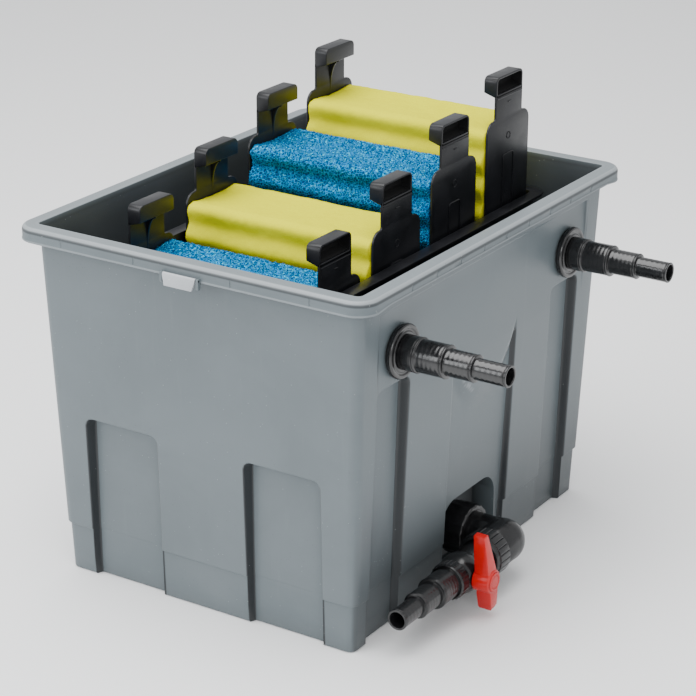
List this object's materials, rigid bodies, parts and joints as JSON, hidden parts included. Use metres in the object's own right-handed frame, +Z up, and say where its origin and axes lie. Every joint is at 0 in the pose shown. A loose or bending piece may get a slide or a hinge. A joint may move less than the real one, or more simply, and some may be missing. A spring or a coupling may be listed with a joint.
{
  "type": "pond box filter",
  "caption": "Open-topped pond filter box with a lift-out tray of foam cartridges, stepped hose tails and a ball-valve drain.",
  "frame": {"origin": "centre of the tub's underside, at floor level", "axes": "+Z up; +X towards the side with the hose fittings and the drain; -Y towards the end with the front lid clip"},
  "size_m": [0.5817, 0.6042, 0.551],
  "materials": {
    "tub_grey": "satin moulded grey",
    "clip_grey": "satin light grey",
    "black_plastic": "semi-gloss black",
    "rubber": "matte black rubber",
    "yellow_foam": "fine open-cell foam",
    "blue_foam": "coarse reticulated foam",
    "red_plastic": "semi-gloss red",
    "valve_white": "smooth off-white",
    "stem_grey": "smooth grey"
  },
  "bodies": {
    "tub_body": {"tub": "tub_grey", "front_clip_pin": "black_plastic", "back_clip_pin": "black_plastic", "inlet_gasket": "rubber", "inlet_bulkhead": "black_plastic", "inlet_locknut": "black_plastic", "inlet_hose_tail": "black_plastic", "outlet_gasket": "rubber", "outlet_bulkhead": "black_plastic", "outlet_locknut": "black_plastic", "outlet_hose_tail": "black_plastic", "drain_gasket": "rubber", "drain_bulkhead": "black_plastic", "drain_locknut": "black_plastic", "drain_collar_nut": "black_plastic", "drain_elbow": "black_plastic", "valve_union_nut": "black_plastic", "valve_body": "black_plastic", "inlet_seat": "valve_white", "outlet_seat": "valve_white", "stem_seal": "rubber", "tail_nut": "black_plastic", "drain_hose_tail": "black_plastic"},
    "tray_body": {"cartridge_tray": "black_plastic", "support_grid": "black_plastic"},
    "front_clip_body": {"front_clip": "clip_grey"},
    "back_clip_body": {"back_clip": "clip_grey"},
    "lever_body": {"valve_handle": "red_plastic", "handle_cap": "red_plastic", "valve_stem": "stem_grey", "valve_ball": "valve_white"},
    "cartridge_1": {"left_plate_1": "black_plastic", "right_plate_1": "black_plastic", "foam_base_1": "black_plastic", "blue_foam_1": "blue_foam"},
    "cartridge_2": {"left_plate_2": "black_plastic", "right_plate_2": "black_plastic", "foam_base_2": "black_plastic", "yellow_foam_2": "yellow_foam"},
    "cartridge_3": {"left_plate_3": "black_plastic", "right_plate_3": "black_plastic", "foam_base_3": "black_plastic", "blue_foam_3": "blue_foam"},
    "cartridge_4": {"left_plate_4": "black_plastic", "right_plate_4": "black_plastic", "foam_base_4": "black_plastic", "yellow_foam_4": "yellow_foam"}
  },
  "joints": [
    {"name": "tray_lift", "type": "slide", "parent": "tub_body", "child": "tray_body", "axis": [0, 0, 1], "range_m": [0, 0.45]},
    {"name": "cartridge_1_lift", "type": "slide", "parent": "tray_body", "child": "cartridge_1", "axis": [0, 0, 1], "range_m": [-0.0331, 0.3269]},
    {"name": "cartridge_2_lift", "type": "slide", "parent": "tray_body", "child": "cartridge_2", "axis": [0, 0, 1], "range_m": [-0.0676, 0.2924]},
    {"name": "cartridge_3_lift", "type": "slide", "parent": "tray_body", "child": "cartridge_3", "axis": [0, 0, 1], "range_m": [-0.1041, 0.2559]},
    {"name": "cartridge_4_lift", "type": "slide", "parent": "tray_body", "child": "cartridge_4", "axis": [0, 0, 1], "range_m": [-0.1316, 0.2284]},
    {"name": "front_clip_swing", "type": "hinge", "parent": "tub_body", "child": "front_clip_body", "pos_m": [0, -0.298, 0.4155], "axis": [1, 0, 0], "range_deg": [-105, 14]},
    {"name": "back_clip_swing", "type": "hinge", "parent": "tub_body", "child": "back_clip_body", "pos_m": [0, 0.298, 0.4155], "axis": [1, 0, 0], "range_deg": [-14, 105]},
    {"name": "drain_valve", "type": "hinge", "parent": "tub_body", "child": "lever_body", "pos_m": [0.2437, -0.104, 0.048], "axis": [1, 0, 0], "range_deg": [-9, 81]}
  ]
}
